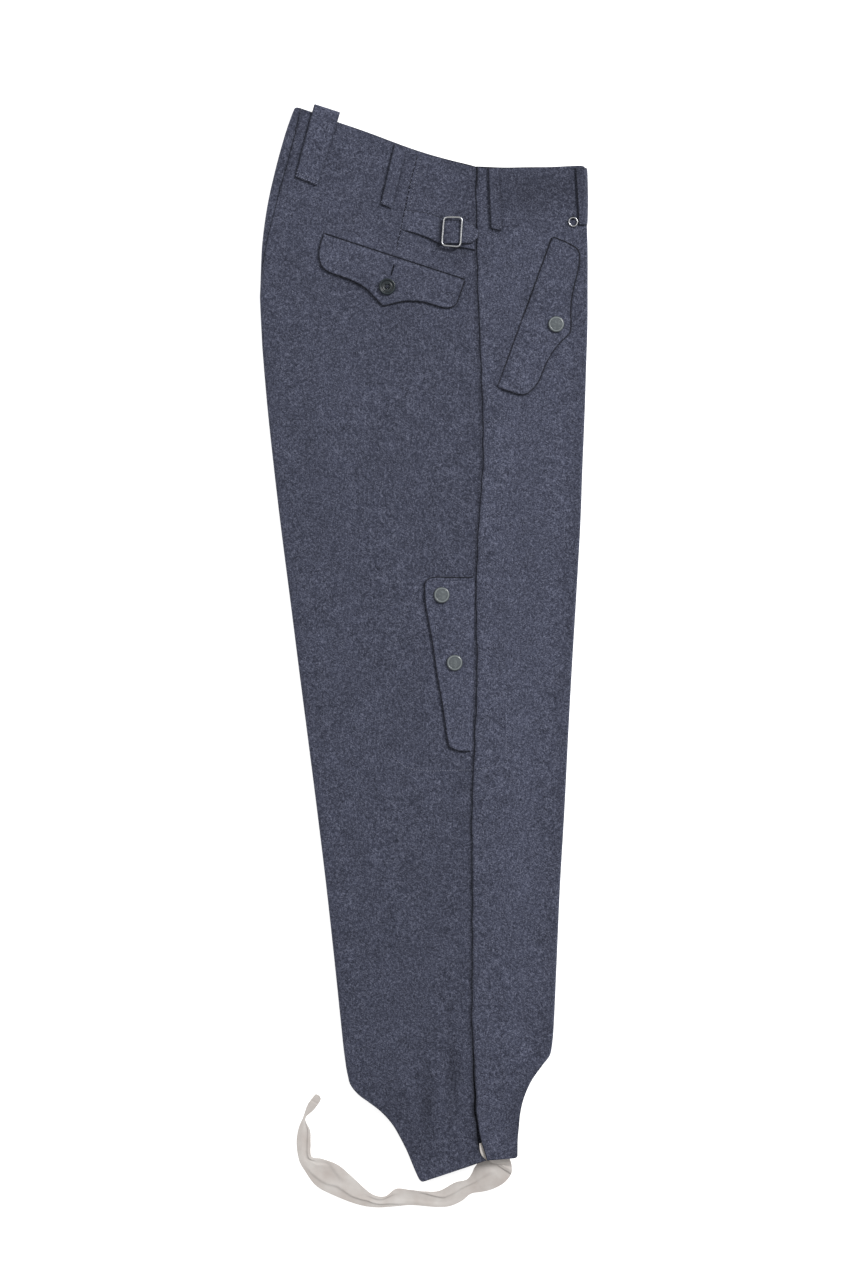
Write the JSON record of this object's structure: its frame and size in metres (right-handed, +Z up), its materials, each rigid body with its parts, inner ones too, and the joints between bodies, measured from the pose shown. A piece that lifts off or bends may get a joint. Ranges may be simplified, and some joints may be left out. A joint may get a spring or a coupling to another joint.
{
  "type": "military trousers",
  "caption": "Wool field trousers folded leg on leg: flapped hip, back and knee pockets, belt loops, waist cinch with buckle, shaped ankles and a foot tape.",
  "frame": {"origin": "centre of the garment's box without its foot tape, at its foot, on the surface that the folded trousers lie on", "axes": "+X towards the front creases, +Y towards the waist, +Z up from the surface"},
  "size_m": [0.3426, 1.156, 0.0206],
  "materials": {
    "wool": "felted blue-grey melange wool with a short matt nap",
    "wool_inside": "the same wool, inner face",
    "dark_button": "dark green-black, semi gloss",
    "enamelled_snap": "grey-green enamel, satin",
    "bright_steel": "nickelled wire",
    "cotton_tape": "unbleached cotton tape, creased"
  },
  "bodies": {
    "trousers": {"right_back_panel": "wool", "right_front_panel": "wool", "left_back_panel": "wool", "left_front_panel": "wool", "inner_layers": "wool_inside", "back_belt_loop": "wool", "rear_side_belt_loop": "wool", "side_belt_loop": "wool", "front_belt_loop": "wool", "cinch_strap": "wool", "buckle_strap": "wool", "cinch_buckle": "bright_steel", "back_pocket_flap": "wool", "back_pocket_button": "dark_button", "front_pocket_flap": "wool", "front_pocket_snap": "enamelled_snap", "knee_pocket_flap": "wool", "knee_pocket_snap_upper": "enamelled_snap", "knee_pocket_snap_lower": "enamelled_snap", "foot_tape": "cotton_tape"},
    "ring": {"watch_ring": "bright_steel"}
  },
  "joints": [
    {"name": "ring_swing", "type": "hinge", "parent": "trousers", "child": "ring", "pos_m": [0.15568, 0.44697, 0.01516], "axis": [-1, 0, 0], "range_deg": [0, 150]}
  ]
}
